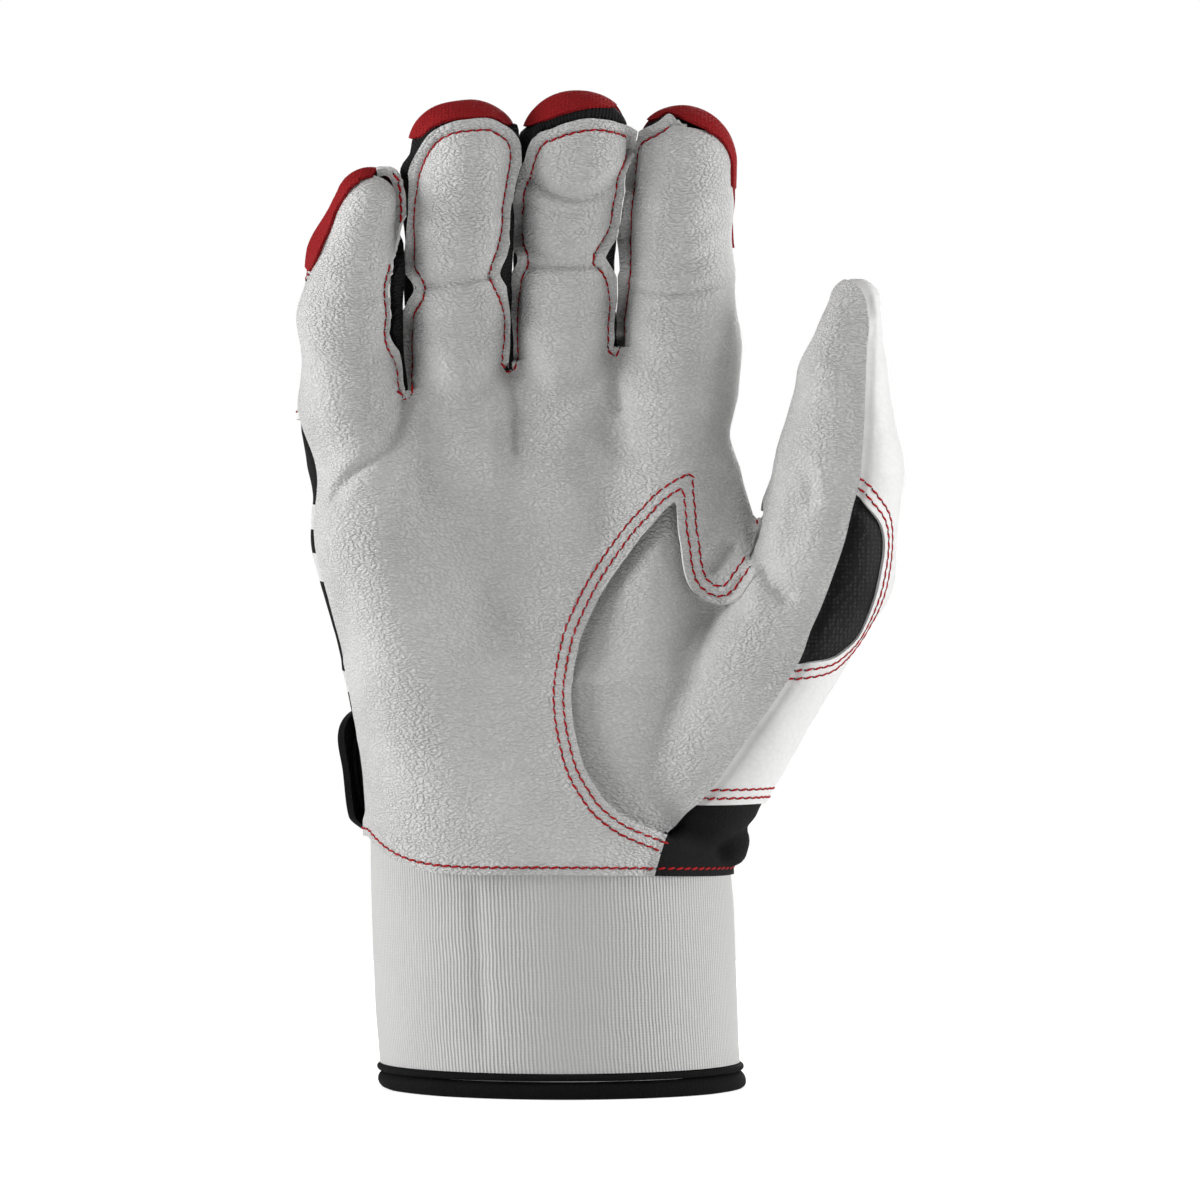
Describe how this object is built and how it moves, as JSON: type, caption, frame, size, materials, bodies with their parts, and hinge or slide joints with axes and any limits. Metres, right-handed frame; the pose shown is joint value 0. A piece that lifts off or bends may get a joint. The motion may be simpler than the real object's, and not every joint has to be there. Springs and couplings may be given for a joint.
{
  "type": "batting glove",
  "caption": "Right-hand batting glove in its worn shape: leather palm, stretch side panels, fabric fingertip caps, wrist strap and rib-knit cuff.",
  "frame": {"origin": "centre of the cuff's open end, on the plane of the hem that the glove stands on", "axes": "+Z from the hem towards the fingertips, -Y the way the palm faces, +X towards the thumb"},
  "size_m": [0.1376, 0.0716, 0.223],
  "materials": {
    "palm_leather": "pebble-grained, satin",
    "back_leather": "fine-grained, satin",
    "cuff_knit": "fine rib knit, matte",
    "black_stretch": "stretch knit, matte",
    "black_mesh": "fine dotted mesh, matte",
    "red_fabric": "pebbled stretch fabric, matte",
    "black_binding": "woven binding tape, matte",
    "strap_webbing": "brushed tape, matte",
    "badge_rubber": "soft moulded, satin"
  },
  "bodies": {
    "hand": {"palm_panel": "palm_leather", "thumb_pad_panel": "palm_leather", "back_panel": "black_stretch", "back_yoke": "back_leather", "thumb_side_panel": "back_leather", "wrist_gusset": "black_stretch", "thumb_stretch_panel": "black_mesh", "cuff": "cuff_knit", "hem_piping": "black_binding", "hem_binding": "black_binding", "loop_patch": "strap_webbing", "strap_anchor": "strap_webbing"},
    "pinky": {"pinky_front": "palm_leather", "pinky_side_panel": "black_stretch", "pinky_tip_cap": "red_fabric", "pinky_back": "back_leather"},
    "ring": {"ring_front": "palm_leather", "ring_side_panel": "black_stretch", "ring_tip_cap": "red_fabric", "ring_back": "back_leather"},
    "middle": {"middle_front": "palm_leather", "middle_side_panel": "black_stretch", "middle_tip_cap": "red_fabric", "middle_back": "back_leather"},
    "index": {"index_front": "palm_leather", "index_side_panel": "black_stretch", "index_tip_cap": "red_fabric", "index_back": "back_leather"},
    "thumb": {"thumb_front": "palm_leather", "thumb_back": "back_leather"},
    "strap": {"closure_strap": "strap_webbing", "hook_patch": "strap_webbing", "strap_badge": "badge_rubber"}
  },
  "joints": [
    {"name": "pinky_knuckle", "type": "hinge", "parent": "hand", "child": "pinky", "pos_m": [-0.0476, -0.0176, 0.1544], "axis": [1, 0, 0], "range_deg": [0, 55]},
    {"name": "ring_knuckle", "type": "hinge", "parent": "hand", "child": "ring", "pos_m": [-0.024, -0.0173, 0.161], "axis": [1, 0, 0], "range_deg": [0, 55]},
    {"name": "middle_knuckle", "type": "hinge", "parent": "hand", "child": "middle", "pos_m": [-0.0004, -0.0172, 0.1668], "axis": [1, 0, 0], "range_deg": [0, 55]},
    {"name": "index_knuckle", "type": "hinge", "parent": "hand", "child": "index", "pos_m": [0.0258, -0.0192, 0.1685], "axis": [1, 0, 0], "range_deg": [0, 55]},
    {"name": "thumb_fold", "type": "hinge", "parent": "hand", "child": "thumb", "pos_m": [0.0532, -0.0232, 0.1396], "axis": [0.8, -0.6, 0], "range_deg": [0, 40]},
    {"name": "strap_fold", "type": "hinge", "parent": "hand", "child": "strap", "pos_m": [0.0204, 0.0251, 0.072], "axis": [0, 0.153, -0.9882], "range_deg": [0, 110]}
  ]
}
